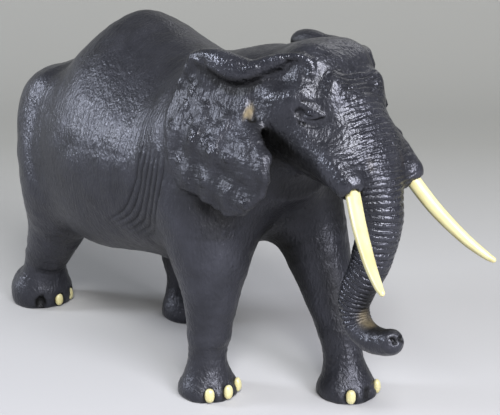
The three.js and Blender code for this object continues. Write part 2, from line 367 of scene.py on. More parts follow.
@dataclass
class Torso:
    """The barrel of the body: stations of x, top, bottom, half width and widest height."""

    stations: tuple = (
        (-8, 76, 66, 3, 71),
        (-4, 86, 56, 12, 72),
        (3, 93, 50, 18.5, 72),
        (12, 98, 46, 25, 72),
        (24, 104, 43, 31.5, 72),
        (38, 114, 40.5, 35.5, 71),
        (51, 119.8, 39, 37.5, 71),
        (62, 118.5, 38, 38, 70),
        (76, 113.8, 38, 37, 71),
        (92, 110, 40, 34.5, 74),
        (108, 109.5, 46, 30, 79),
        (124, 111.5, 58, 23, 88),
        (136, 112, 68, 17, 92),
    )
    wall: float = 4.5
    floor: float = 7.0
    ridge: float = 1.7
    full: float = 2.4
    rump: tuple = (6, 84, 60, 9, 72)
    chest: tuple = (117, 99, 68, 13, 86)
    masses: tuple = (
        ((21, -21.5, 88), (10, 6, 8), 9),
        ((8, -16, 79), (11, 9, 13), 9),
        ((50, -17, 54), (30, 16, 17), 8),
        ((107, -14, 87), (18, 15, 18.5), 6),
    )

    def barrel(self, p: Points, stations: Sequence[Sequence[float]]) -> Distance:
        """Distance to a barrel along x, drawn in to a ridge above and full below.

        Args:
            p: the points.
            stations: the stations.

        Returns:
            The distances.
        """
        table = smooth_path(stations, 5)
        x = np.clip(p[:, 0], table[0, 0], table[-1, 0])
        top, bottom, half, widest = (np.interp(x, table[:, 0], table[:, k]) for k in range(1, 5))
        z = p[:, 2] - widest
        height = np.where(z > 0, top - widest, widest - bottom)
        power = np.where(z > 0, self.ridge, self.full)
        k = (np.abs(p[:, 1] / half) ** power + np.abs(z / height) ** power) ** (1 / power)
        d = (k - 1) * np.minimum(height, half) * 0.9
        beyond = np.abs(p[:, 0] - x)
        return np.where(beyond > 0, np.hypot(np.maximum(d, 0), beyond), d)

    def outside(self, p: Points) -> Distance:
        """The outside of the barrel with the hip bones and shoulder blades on it.

        Args:
            p: the points.

        Returns:
            The distances.
        """
        d = self.barrel(p, self.stations)
        for side in Side:
            d = with_masses(d, flipped(p, side), self.masses)
        return d

    def hollow(self, p: Points) -> Distance:
        """The cored cavity that the coins lie in.

        Args:
            p: the points.

        Returns:
            The distances.
        """
        core = [
            (x, top - self.wall, bottom + self.floor, half - self.wall, widest)
            for x, top, bottom, half, widest in self.stations
            if self.rump[0] + 4 < x < self.chest[0] - 7
        ]
        return self.barrel(p, [self.rump, *core, self.chest])


@dataclass
class Legs:
    """The four legs in mid stride: stations of x, y, z and radius from the top down.

    The lowest six stations are level slices, so that a foot flares like a bell onto its sole.
    """

    front_right: tuple = (
        (107, -12, 92, 8), (109, -15.5, 82, 15), (112, -17, 68, 16.5), (114.8, -17.6, 54, 14.4),
        (115.5, -18, 38, 9.9), (114, -18, 22, 7.1),
        (113.1, -18, 14, 6.5), (112.9, -18, 10, 6.9), (112.8, -17.9, 6, 8.5), (112.8, -17.8, 3, 10.0),
        (112.8, -17.8, 0, 10.2),
    )
    front_left: tuple = (
        (111, 12, 92, 8), (113, 15, 82, 15), (116.8, 16.4, 68, 14.8), (121.8, 17.8, 54, 12.4),
        (130.2, 18.7, 36, 9.4), (137, 18.3, 22, 7.2),
        (139.4, 18, 14, 6.7), (140.6, 18, 10, 7.1), (141.8, 17.9, 6, 8.6), (142, 17.8, 3, 10.0),
        (142, 17.8, 0, 10.2),
    )
    hind_right: tuple = (
        (15, -9, 88, 8), (16, -13.5, 79, 15), (18.5, -16, 67, 17.5), (23, -18.5, 52, 17),
        (18, -19.6, 38, 12), (9.4, -20, 24, 9.1),
        (5, -20.2, 16, 8.6), (2.6, -20.1, 11, 10.2), (1.4, -20, 7, 11.9), (1.2, -20, 3.2, 12.2),
        (1.2, -20, 0, 11.4),
    )
    hind_left: tuple = (
        (20, 10, 90, 8), (24, 14.5, 79, 15), (30, 17, 66, 17.5), (38, 18, 50, 15),
        (47, 18, 34, 11), (49, 17.8, 22, 8.3),
        (49.8, 17.5, 15, 7.6), (50.8, 17.2, 10, 8.4), (51.8, 17, 6, 9.8), (52, 17, 3, 10.5), (52, 17, 0, 10.3),
    )
    level: int = 6
    crease_gap: float = 2.1
    crease_depth: float = 0.42
    ankle: float = 15.0
    knee: float = 36.0
    heel: tuple = (-3.5, -20.5, 6.4)
    heel_size: tuple = (8.6, 8.8, 8.4)

    def leg(self, p: Points, stations: tuple) -> Distance:
        """Distance to one leg: a round limb above, level slices below.

        Args:
            p: the points.
            stations: the stations.

        Returns:
            The distances.
        """
        d = limb(p, stations[: -self.level + 1])
        low = np.where(p[:, 2] < 26)[0]
        if len(low):
            d[low] = blend_union(d[low], slices(p[low], stations[-self.level :]), 1.6)
        return d

    def outside(self, p: Points) -> Distance:
        """Distance to the nearest leg.

        Args:
            p: the points.

        Returns:
            The distances.
        """
        d = self.leg(p, self.front_right)
        for stations in (self.front_left, self.hind_right, self.hind_left):
            d = np.minimum(d, self.leg(p, stations))
        return blend_union(d, ellipsoid(p, self.heel, self.heel_size), 2.0)

    def wrinkles(self, p: Points) -> Distance:
        """Depth of the creases across the ankles and at the knees.

        Args:
            p: the points.

        Returns:
            The depths.
        """
        wobble = 1.1 * lumps(p, 7.0, 3) + 0.5 * np.cos(p[:, 0] * 0.4)
        phase = (p[:, 2] + wobble) / self.crease_gap
        crease = (1 - np.abs(np.sin(np.pi * phase))) ** 2.4
        ankles = fade(np.abs(p[:, 2] - self.ankle), 2.0, 5.5)
        knees = 0.4 * fade(np.abs(p[:, 2] - self.knee), 1.0, 5.0)
        return self.crease_depth * crease * np.maximum(ankles, knees) * (0.6 + 0.4 * lumps(p, 9.0, 5))


@dataclass
class Trunk:
    """The trunk, ringed from the forehead to the curled tip."""

    stations: tuple = (
        (148, 0, 106, 12), (159, 0, 95, 11.5), (166.5, 0, 86, 9.6), (171, 0, 77.5, 7.8),
        (172.5, 0, 69, 6.7), (169.5, 0, 57, 5.9), (164.5, 0, 47, 5.3), (163, 0, 40.5, 4.7),
        (165.3, 0, 35.6, 4.4), (170.4, 0, 33.3, 4.2), (175.5, 0, 33.7, 4.1), (178.4, 0, 34.7, 3.9),
    )
    ring_top: float = 1.4
    ring_tip: float = 1.95
    bare_tip: float = 16.0
    ring_depth: float = 0.34

    def place(self, p: Points, steps: int = 5) -> tuple[Distance, Distance, float]:
        """Distance to the trunk, place along it, and its whole length.

        Args:
            p: the points.
            steps: how many pieces each span is cut into.

        Returns:
            The distances, the places along the trunk and the trunk's length.
        """
        path = smooth_path(self.stations, steps)
        length = float(np.linalg.norm(np.diff(path[:, :3], axis=0), axis=-1).sum())
        d, s = along_path(p, path, 14.0)
        return d, s, length

    def rings(self, p: Points) -> tuple[Distance, Distance, Distance]:
        """The wrinkle rings across the trunk.

        Args:
            p: the points.

        Returns:
            Depth of the grooves, how much of a point belongs to the ringed zone, and the number
            of rings passed from the root.
        """
        low = (p[:, 0] > 146) & (np.abs(p[:, 1]) < 14)
        depth, zone, turns = np.zeros(len(p)), np.zeros(len(p)), np.zeros(len(p))
        if not low.any():
            return depth, zone, turns
        q = p[low]
        d, s, length = self.place(q, 18)
        t = s + 0.014 * q[:, 1] ** 2 + 0.22 * lumps(q, 5.0, 11) + 0.25 * np.sin(s * 0.55)
        t = np.maximum(t + 6, 0)
        growth = (self.ring_tip / self.ring_top - 1) / length
        count = np.log1p(growth * t) / (growth * self.ring_top)
        ends = fade(length - s, self.bare_tip, self.bare_tip - 5)
        skin = fade(np.abs(d), 2.6, 4.6)
        root = fade(q[:, 2], 88, 94)
        front = fade(q[:, 0] - (153.5 + 0.75 * (109 - q[:, 2])), 3.0, 0.0) * fade(np.abs(q[:, 1]), 6.4, 9.4)
        front = front * fade(q[:, 2], 109.5, 113)
        share = ends * skin * np.maximum(root, front)
        depth[low] = self.ring_depth * (1 - np.abs(np.sin(np.pi * count))) ** 1.5 * share
        zone[low], turns[low] = share, count
        return depth, zone, turns


@dataclass
class Head:
    """Skull, temples, eyes, cheeks and tusk sheaths. Right-hand pieces are mirrored."""

    neck: tuple = ((106, 0, 90, 18), (122, 0, 93, 20.5), (134, 0, 96.5, 18), (142, 0, 98.5, 14.5))
    sheath: tuple = (
        (146, -8, 94, 7), (156, -9.4, 90, 7.3), (164, -10.2, 87.2, 6.6), (171.6, -11.4, 82.6, 4.7),
    )
    temple_rim: tuple = (
        (139.8, -20, 112.2, 1.0), (142.5, -17.2, 113.6, 1.2), (146.7, -15.4, 114.8, 1.15),
        (150.1, -13.5, 115.5, 1.0), (153.6, -11.9, 114.9, 0.8), (155.4, -11.6, 113.0, 0.5),
        (156, -12.2, 111.2, 0.25),
    )
    upper_lid: tuple = (
        (154.6, -14.9, 100.5, 0.25), (156.0, -15.1, 101.6, 0.4), (157.7, -14.7, 102.1, 0.45),
        (159.5, -13.8, 101.6, 0.4), (161.4, -12.7, 100.3, 0.25),
    )
    lower_lid: tuple = (
        (154.6, -14.9, 100.5, 0.2), (156.1, -15.2, 99.6, 0.3), (158.0, -14.8, 99.2, 0.35),
        (159.8, -13.9, 99.4, 0.3), (161.4, -12.7, 100.3, 0.2),
    )
    lid_fold: tuple = (
        (153.8, -16, 102.4, 0.15), (156, -15.6, 103.7, 0.2), (159.2, -13.8, 103.6, 0.2),
        (161.8, -12.2, 102.2, 0.15),
    )
    bag_fold: tuple = (
        (153.8, -16.4, 98.8, 0.15), (156, -16, 97.6, 0.25), (158.8, -14.6, 97.2, 0.25),
        (161.4, -12.8, 98.0, 0.15),
    )
    eye_at: tuple = (157.7, -13.1, 100.5)
    eye_size: tuple = (3.0, 2.1, 1.4)
    cranium: tuple = ((142, 0, 100.5), (18, 15, 17))
    jaw: tuple = (((150, 0, 84.5), (12, 8.5, 7.5), 6), ((157, 0, 79.5), (8, 6, 3.8), 3))
    masses: tuple = (
        ((149, -6, 109), (10, 8.5, 10), 5),
        ((155, -9.5, 101.5), (7, 5, 5), 4),
        ((143, -12.5, 101), (13, 8, 10), 5),
        ((148, -10.5, 92), (11, 7.5, 8), 6),
    )
    trunk_root: tuple = (((166.5, -5.8, 87.5), (5.5, 4.6, 9), 4),)
    cheekbone: tuple = (((147.5, -12.4, 104.4), (10, 5.2, 5.4), 3),)
    temple: tuple = ((150, -19.2, 110.6), (7.0, 3.2, 3.2))
    forehead: tuple = (((160.4, -7.4, 105.4), (3.2, 3.4, 5.6), 3.0),)
    eye_socket: tuple = ((158.0, -16.4, 100.5), (3.4, 1.2, 1.5))

    def skull(self, p: Points) -> Distance:
        """The head without its ears, as one rounded form.

        Args:
            p: the points.

        Returns:
            The distances.
        """
        d = with_masses(ellipsoid(p, *self.cranium), p, self.jaw)
        for side in Side:
            q = flipped(p, side)
            d = blend_union(with_masses(d, q, self.masses), limb(q, self.sheath), 5)
            d = with_masses(d, q, self.trunk_root)
        return d

    def outside(self, p: Points) -> Distance:
        """Skull, temple hollows and rims, forehead lobes, eyes and lids.

        Args:
            p: the points.

        Returns:
            The distances.
        """
        d = self.skull(p)
        for side in Side:
            q = flipped(p, side)
            d = with_masses(d, q, self.cheekbone)
            d = blend_cut(d, ellipsoid(q, *self.temple), 3.5)
            d = blend_union(d, limb(q, self.temple_rim), 1.6)
            d = with_masses(d, q, self.forehead)
            d = blend_cut(d, ellipsoid(q, *self.eye_socket), 1.0)
            d = np.minimum(d, ellipsoid(q, self.eye_at, self.eye_size))
            for lid in (self.upper_lid, self.lower_lid):
                d = blend_union(d, limb(q, lid, 6), 0.5)
            for fold in (self.lid_fold, self.bag_fold):
                d = blend_cut(d, limb(q, fold, 6), 0.8)
        return d


@dataclass
class Ear:
    """A low ear that lies along the neck and shoulder: outline in the side view, x and z."""

    outline: tuple = (
        (118.7, 112.9), (113.9, 109.5), (110.4, 102.4), (109.7, 93.7), (113.2, 86.5), (115.0, 80.3),
        (118.4, 75.0), (125.1, 72.9), (132.8, 70.5), (139.8, 69.1), (145.2, 70.5), (151.4, 75.2),
        (153.6, 79.4), (155.3, 83.7),
        (154.0, 88.9), (147.7, 93.8), (142.4, 97.9), (139.2, 102.4), (139.3, 107.0),
    )
    low_stand_off: tuple = (
        (100, 28), (106, 28.4), (112, 29.6), (124, 30.8), (138, 29.6), (150, 27.4), (156, 26),
    )
    high_stand_off: tuple = (
        (104, 25.4), (112, 25.4), (118, 24.9), (126, 23.6), (134, 21.4), (141, 18.6), (150, 16),
    )
    turn_in: tuple = (86.0, 106.0)
    flap: tuple = (
        (117.5, -24.6, 112.8, 1.3), (121.5, -24.4, 113.6, 2.0), (127, -23.4, 113.2, 2.9),
        (132.5, -21.6, 111.6, 3.3), (137.5, -19.4, 110.8, 2.9), (141.5, -17.2, 111.8, 2.1),
        (146, -15.2, 113.4, 1.6),
    )
    flap_drape: tuple = (
        (127, -24.4, 111.4, 1.6), (132, -23.2, 109.4, 1.9), (136.5, -21.6, 109, 1.7), (140, -19.4, 110, 1.2),
    )
    crease: tuple = (
        (118.5, -28.2, 111.2, 0.6), (124, -27.2, 109, 1.2), (129.6, -25.6, 107, 1.7), (135, -23.8, 105.8, 1.8),
        (139.5, -21.8, 106.6, 1.3), (142, -20, 108.4, 0.7),
    )
    front_crease: tuple = ((142.6, -22.6, 97.6, 1.2), (141.2, -22.2, 101, 0.9), (140.8, -21.4, 105, 0.7))
    chips: tuple = (
        (118.6, 103.6, 2.5), (117.4, 98.3, 1.9), (121, 94.4, 1.5), (125.5, 91, 2.8), (130.6, 90.4, 2.0),
        (134.7, 88.6, 3.0), (126.5, 100, 1.3), (141, 87, 1.5), (113.6, 92, 1.6), (119.6, 83, 1.7),
        (131, 78, 1.3),
        (147.6, 74.6, 1.9), (124, 76.6, 1.4), (139.4, 101.4, 1.5),
    )
    thickness: float = 1.5
    edge_radius: float = 1.2
    far_fold: tuple = (((117, -21.5, 113), (8.6, 4.2, 4.4), 2),)

    def middle(self, x: Distance, z: Distance) -> Distance:
        """How far out from the middle plane the ear's leaf lies.

        Args:
            x: places along the body.
            z: heights.

        Returns:
            The distances from the middle plane.
        """
        low, high = smooth_path(self.low_stand_off, 4), smooth_path(self.high_stand_off, 4)
        t = fade(z, self.turn_in[1], self.turn_in[0])
        out = np.interp(x, low[:, 0], low[:, 1])
        out = out + (np.interp(x, high[:, 0], high[:, 1]) - out) * t
        ripple = 0.5 * np.sin(0.62 * (x - 108) - 0.12 * (z - 70)) * fade(z, 92, 103) * fade(x, 136, 142)
        waves = 0.45 * np.sin(0.55 * z + 0.12 * x) * fade(z, 84, 94)
        return out + ripple + waves

    def chipped(self, q: Points) -> Distance:
        """How much of each point lies on one of the raised, rubbed chips of the ear.

        Args:
            q: the points, brought to the right-hand side.

        Returns:
            The shares, from 0 to 1.
        """
        x = q[:, 0] + 0.5 * np.sin(1.9 * q[:, 2])
        z = q[:, 2] + 0.5 * np.sin(1.7 * q[:, 0])
        share = np.zeros(len(q))
        for at_x, at_z, r in self.chips:
            away = np.maximum(np.abs(x - at_x) * 1.1, np.abs(z - at_z)) / r
            share = np.maximum(share, fade(away, 0.45, 1.0))
        return share

    def leaf(self, q: Points, edge: Distance) -> Distance:
        """Distance to the leaf, given the side-view distance to its outline.

        Args:
            q: the points, brought to the right-hand side.
            edge: the side-view distance to the outline.

        Returns:
            The distances.
        """
        edge = edge + 0.35 * np.sin(0.9 * q[:, 0] + 0.3 * q[:, 2]) * np.sin(0.75 * q[:, 2] - 0.2 * q[:, 0])
        thick = self.thickness + 0.15 * self.chipped(q) + 0.35 * lumps(q, 3.4, 7) + 0.3 * lumps(q, 1.9, 8)
        across = np.abs(-q[:, 1] - self.middle(q[:, 0], q[:, 2])) - thick
        r = self.edge_radius
        corner = np.hypot(np.maximum(edge + r, 0), np.maximum(across + r, 0))
        return (np.minimum(np.maximum(edge + r, across + r), 0) + corner - r) * 0.8

    def outside(self, d: Distance, p: Points) -> Distance:
        """Adds both ears to the field d.

        Args:
            d: the field to add to.
            p: the points.

        Returns:
            The joined field.
        """
        outline = smooth_path(self.outline, 3, closed=True)
        for side in Side:
            q = flipped(p, side)
            near = np.where((q[:, 0] > 98) & (q[:, 0] < 166) & (q[:, 1] < -8) & (q[:, 2] > 58))[0]
            if not len(near):
                continue
            n = q[near]
            e = blend_union(d[near], self.leaf(n, outline_distance(n[:, 0], n[:, 2], outline)), 4.0)
            e = blend_cut(e, limb(n, self.crease), 1.2)
            e = blend_cut(e, limb(n, self.front_crease), 1.0)
            e = blend_union(e, limb(n, self.flap), 2.2)
            e = blend_union(e, limb(n, self.flap_drape), 1.6)
            if side is Side.LEFT:
                e = with_masses(e, n, self.far_fold)
            d[near] = e
        return d


@dataclass
class Folds:
    """Deep skin folds: the fan behind the elbow and the lines of the cheek and throat."""

    elbow: tuple = ((113, 86), (111.6, 75), (107.4, 64), (99.6, 54.6), (85, 47.4))
    elbow_count: int = 6
    elbow_step: tuple = (-2.5, 0.9)
    elbow_depth: float = 0.55
    elbow_width: float = 0.42
    cheek_depth: float = 0.5
    cheek_width: float = 0.6
    cheek: tuple = (
        ((160.5, -15, 91), (164.5, -15.2, 88.6), (168, -15.4, 85.4), (170.5, -15, 82)),
        ((148, -17, 90), (154, -15.6, 86.5), (160, -14.6, 84.6)),
        ((151.6, -15.8, 97), (156, -15.2, 96), (161, -13.4, 97.4), (165, -10.8, 99.4)),
    )

    def depth(self, p: Points) -> Distance:
        """Depth of the folds at each point.

        Args:
            p: the points.

        Returns:
            The depths.
        """
        depth = np.zeros(len(p))
        for side in Side:
            q = flipped(p, side)
            beside = (q[:, 1] < -14) & (q[:, 0] > 60) & (q[:, 0] < 118) & (q[:, 2] > 42) & (q[:, 2] < 90)
            near = np.where(beside)[0]
            n = q[near] + 0.4 * np.stack([lumps(q[near], 11.0, 21)] * 3, -1)
            flat = np.stack([n[:, 0], np.zeros(len(n)), n[:, 2]], -1)
            for k in range(self.elbow_count):
                shift_x, shift_z = k * self.elbow_step[0], k * self.elbow_step[1]
                path = smooth_path([(x + shift_x, 0.0, z + shift_z, 0.0) for x, z in self.elbow], 5)
                d, s = along_path(flat, path, 6.0)
                length = float(np.linalg.norm(np.diff(path[:, :3], axis=0), axis=-1).sum())
                ends = fade(s, 12.0, 0.0) * fade(length - s, 16.0, 0.0)
                line = self.elbow_depth * np.exp(-((d / self.elbow_width) ** 2)) * ends
                depth[near] = np.maximum(depth[near], line)
            for points in self.cheek:
                d = along_path(q, smooth_path([(*point, 0.0) for point in points], 5), 6.0)[0]
                depth = np.maximum(depth, self.cheek_depth * np.exp(-((d / self.cheek_width) ** 2)))
        return depth


def stadium(p: Points, x: float, length: float, width: float, low: float, high: float) -> Distance:
    """Distance to a level plate with round ends, centred on x and the middle plane.

    Args:
        p: the points.
        x: its middle along the body.
        length: its length.
        width: its width.
        low: the height of its bottom.
        high: the height of its top.

    Returns:
        The distances.
    """
    r = width / 2
    reach = length / 2 - r
    flat = np.hypot(np.maximum(np.abs(p[:, 0] - x) - reach, 0), p[:, 1]) - r
    return np.maximum(flat, np.maximum(low - p[:, 2], p[:, 2] - high))


def post(p: Points, x: float, radius: float, low: float, high: float) -> Distance:
    """Distance to an upright round post in the middle plane."""
    flat = np.hypot(p[:, 0] - x, p[:, 1]) - radius
    return np.maximum(flat, np.maximum(low - p[:, 2], p[:, 2] - high))


@dataclass
class CoverSeat:
    """The pad, bosses and holes in the belly that the cover is screwed to."""

    x: float = 77.0
    length: float = 44.0
    width: float = 26.0
    bottom: float = 39.5
    thickness: float = 2.6
    gap: float = 0.3
    rim: float = 3.2
    pad_top: float = 47.0
    door: tuple = (26.0, 18.0, 30.0, 60.0)
    screw_offset: float = 17.5
    boss_radius: float = 5.0
    boss_top: float = 56.0
    hole_radius: float = 2.35
    bite: float = 10.2
    clear_below: float = 6.0

    def screw_places(self) -> tuple[float, float]:
        """Where the two screws stand along x."""
        return self.x - self.screw_offset, self.x + self.screw_offset

    def seat(self) -> float:
        """Height of the face that the cover bears on."""
        return self.bottom + self.thickness + self.gap

    def add(self, d: Distance, p: Points, hollow: Distance) -> Distance:
        """Joins the pad and bosses to field d and cuts the hollow, the door and the holes.

        Args:
            d: the solid outside of the casting.
            p: the points.
            hollow: distance to the cavity.

        Returns:
            The casting's field with its inside.
        """
        grown = 2 * self.rim
        pad = stadium(p, self.x, self.length + grown, self.width + grown, self.bottom, self.pad_top)
        d = blend_union(d, pad, 1.5)
        d = np.maximum(d, -np.minimum(hollow, stadium(p, self.x, *self.door)))
        loose = 2 * self.gap
        below = self.bottom - self.clear_below
        recess = stadium(p, self.x, self.length + loose, self.width + loose, below, self.seat())
        for x in self.screw_places():
            d = np.minimum(d, post(p, x, self.boss_radius, self.seat(), self.boss_top))
        d = np.maximum(d, -recess)
        for x in self.screw_places():
            d = np.maximum(d, -post(p, x, self.hole_radius, self.bottom, self.seat() + self.bite))
        return d


@dataclass
class CoinSlot:
    """The slot along the spine, on the rear slope of the back."""

    at: tuple = (27.0, 0.0, 103.0)
    size: tuple = (29.0, 3.2, 40.0)
    slope: float = 0.55

    def distance(self, p: Points) -> Distance:
        """Distance to the slot's box.

        Args:
            p: the points.

        Returns:
            The distances.
        """
        q = p - np.array(self.at)
        c, s = math.cos(self.slope), math.sin(self.slope)
        along = q[:, 0] * c + q[:, 2] * s
        up = -q[:, 0] * s + q[:, 2] * c
        half = np.array(self.size) / 2
        parts = np.stack([np.abs(along) - half[0], np.abs(q[:, 1]) - half[1], np.abs(up) - half[2]])
        return parts.max(0)


@dataclass
class Foot:
    """A foot: where it stands, its radius at the nails, its turn and which nails are left in it."""

    name: str
    at: tuple[float, float]
    radius: float
    turned: float
    nails: tuple[str, ...]


FEET = (
    Foot("front_right", (112.8, -17.8), 9.9, 6.0, ("outer", "middle", "inner")),
    Foot("front_left", (142, 17.8), 9.9, 4.0, ("outer", "inner")),
    Foot("hind_right", (1.2, -20), 11.4, 7.0, ("middle", "inner")),
    Foot("hind_left", (52, 17), 10.1, 10.0, ("outer", "middle", "inner")),
)


@dataclass
class Toenail:
    """An inset nail: a flat almond with a low crest, set in a pocket of the foot."""

    turn: float = 39.0
    size: tuple = (1.3, 1.6, 2.5)
    height: float = 3.0
    pocket_gap: float = 0.3
    places: tuple = ("outer", "middle", "inner")
    mesh: tuple = (20, 28)

    def place(self, foot: Foot, which: str) -> tuple[np.ndarray, float]:
        """Centre of the nail and the way it faces, as an angle from forward.

        Args:
            foot: the foot.
            which: outer, middle or inner.

        Returns:
            The centre and the angle.
        """
        sign = 1 if foot.at[1] < 0 else -1
        angle = math.radians((self.places.index(which) - 1) * self.turn * sign + foot.turned)
        x, y = foot.at[0] + foot.radius * math.cos(angle), foot.at[1] + foot.radius * math.sin(angle)
        return np.array((x, y, self.height)), angle

    def pocket(self, p: Points, foot: Foot, which: str) -> Distance:
        """Distance to the pocket that holds the nail.

        Args:
            p: the points.
            foot: the foot.
            which: outer, middle or inner.

        Returns:
            The distances.
        """
        at, angle = self.place(foot, which)
        q = p - at
        c, s = math.cos(angle), math.sin(angle)
        turned = np.stack([q[:, 0] * c + q[:, 1] * s, -q[:, 0] * s + q[:, 1] * c, q[:, 2]], -1)
        return ellipsoid(turned, (0, 0, 0), [half + self.pocket_gap for half in self.size])

    def build(self, foot: Foot, which: str, finish: "Finish") -> bpy.types.Object:
        """Builds one nail in place of its plain node.

        Args:
            foot: the foot it is in.
            which: outer, middle or inner.
            finish: the inset's finish.

        Returns:
            The nail.
        """
        at, angle = self.place(foot, which)
        rows, around = self.mesh
        c, s = math.cos(angle), math.sin(angle)
        points = []
        for i in range(rows + 1):
            up = -1 + 2 * i / rows
            width = (1 - abs(up) ** 2.6) ** 0.5 if abs(up) < 1 else 0.0
            for j in range(around):
                a = 2 * math.pi * j / around
                out, across = math.cos(a), math.sin(a)
                crest = 1 + 0.07 * math.cos(2.5 * math.pi * across) * max(out, 0)
                radial = self.size[0] * width * out * crest * (1 - 0.16 * max(up, 0))
                side = self.size[1] * width * math.copysign(abs(across) ** 0.86, across)
                points.append(at + (radial * c - side * s, radial * s + side * c, self.size[2] * up))
        node = f"toenail_{foot.name}_{which}"
        made = new_object(f"nail_{foot.name}_{which}", points, ring_faces(rows + 1, around))
        weld(made)
        dress(made, "casting", finish, node)
        return made


@dataclass
class Tusk:
    """A tusk set in the sheath of the upper lip: stations of x, y, z and radius."""

    stations: tuple = (
        (169.6, -11.0, 85.0, 1.8), (173, -11.7, 80.9, 2.1), (179.6, -14.9, 72.7, 2.05),
        (187.5, -18.5, 65.3, 1.7), (193.5, -21.0, 61.2, 1.25), (196.1, -22.0, 59.9, 0.85),
    )
    socket_gap: float = 0.3

    def socket(self, p: Points, side: Side) -> Distance:
        """Distance to the socket that holds the tusk's root."""
        root = [(*s[:3], s[3] + self.socket_gap) for s in self.stations[:3]]
        return limb(p, mirrored(root, side), 5)

    def build(self, side: Side, finish: "Finish") -> bpy.types.Object:
        """Builds one tusk as a slightly flattened horn with a rounded tip.

        Args:
            side: the side of the head.
            finish: the inset's finish.

        Returns:
            The tusk.
        """
        path = smooth_path(mirrored(self.stations, side), 12)
        around = 36
        points, previous = [], np.array([0.0, 1.0, 0.0])
        for i, (x, y, z, r) in enumerate(path):
            forward = path[min(i + 1, len(path) - 1), :3] - path[max(i - 1, 0), :3]
            forward /= np.linalg.norm(forward)
            n = previous - forward * (previous @ forward)
            n /= np.linalg.norm(n)
            b = np.cross(forward, n)
            previous = n
            for j in range(around):
                a = 2 * math.pi * j / around
                facet = 1 + 0.012 * math.cos(5 * a + i * 0.11) + 0.008 * math.cos(9 * a - i * 0.2)
                round_way = 0.97 * math.cos(a) * n + 1.03 * math.sin(a) * b
                points.append(np.array([x, y, z]) + r * facet * round_way)
        points = np.array(points)
        tip, last = path[-1, :3], len(path) - 1
        forward = (path[-1, :3] - path[-2, :3]) / np.linalg.norm(path[-1, :3] - path[-2, :3])
        caps = []
        for k in (0.45, 0.8, 0.96):
            ring = tip + (points[last * around :][:around] - tip) * math.sqrt(1 - k * k)
            caps.append(ring + forward * path[-1, 3] * k)
        points = np.vstack([points, *caps, [tip + forward * path[-1, 3]], [path[0, :3]]])
        rings = len(path) + len(caps)
        faces = ring_faces(rings, around)
        end, start, final = rings * around, rings * around + 1, (rings - 1) * around
        faces += [(final + j, final + (j + 1) % around, end) for j in range(around)]
        faces += [((j + 1) % around, j, start) for j in range(around)]
        name = "right" if side is Side.RIGHT else "left"
        made = new_object(f"ivory_tusk_{name}", points, faces)
        weld(made)
        dress(made, "casting", finish, f"tusk_{name}")
        return made


